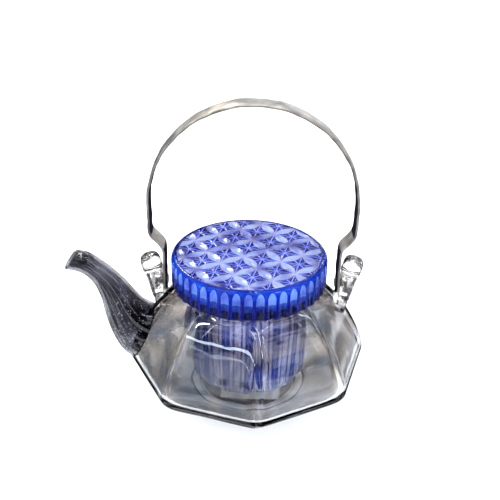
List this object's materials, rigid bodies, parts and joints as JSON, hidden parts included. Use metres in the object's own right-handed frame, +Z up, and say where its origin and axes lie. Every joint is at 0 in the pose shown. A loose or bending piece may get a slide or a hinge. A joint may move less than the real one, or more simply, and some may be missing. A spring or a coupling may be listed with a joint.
{
  "type": "glass pouring pot",
  "caption": "Clear faceted glass pouring pot with a curved spout, a cut-glass ice cup hung in its mouth, a blue fluted lid and a swinging flat metal bail handle.",
  "frame": {"origin": "centre of the foot ring, on the surface that the pot stands on", "axes": "+Z up along the pot's own axis, -X towards the spout; the eight-sided body has corners on X and Y"},
  "size_m": [0.157, 0.128, 0.1614],
  "materials": {
    "clear_glass": "clear, hand-worked, fire-polished",
    "cased_glass": "clear glass cased with blue, cut in upright flutes and polished",
    "blue_glass": "cobalt-blue cased glass, cut through to clear and polished",
    "handle_metal": "satin, lightly hammered strip",
    "pin_metal": "dull rivet",
    "label_paper": "plain paper, blank"
  },
  "bodies": {
    "pot": {"pot_body": "clear_glass", "spout": "clear_glass", "spout_side_lug": "clear_glass", "far_side_lug": "clear_glass", "base_label": "label_paper"},
    "cup": {"ice_cup": "cased_glass"},
    "lid": {"lid": "blue_glass"},
    "bail": {"bail_handle": "handle_metal", "spout_side_pin": "pin_metal", "far_side_pin": "pin_metal"}
  },
  "joints": [
    {"name": "cup_lift", "type": "slide", "parent": "pot", "child": "cup", "axis": [0, 0, 1], "range_m": [0, 0.026]},
    {"name": "lid_lift", "type": "slide", "parent": "cup", "child": "lid", "axis": [0, 0, 1], "range_m": [0, 0.03]},
    {"name": "bail_swing", "type": "hinge", "parent": "pot", "child": "bail", "pos_m": [0, 0, 0.065], "axis": [0.9962, -0.0872, 0], "range_deg": [-75, 75]}
  ]
}
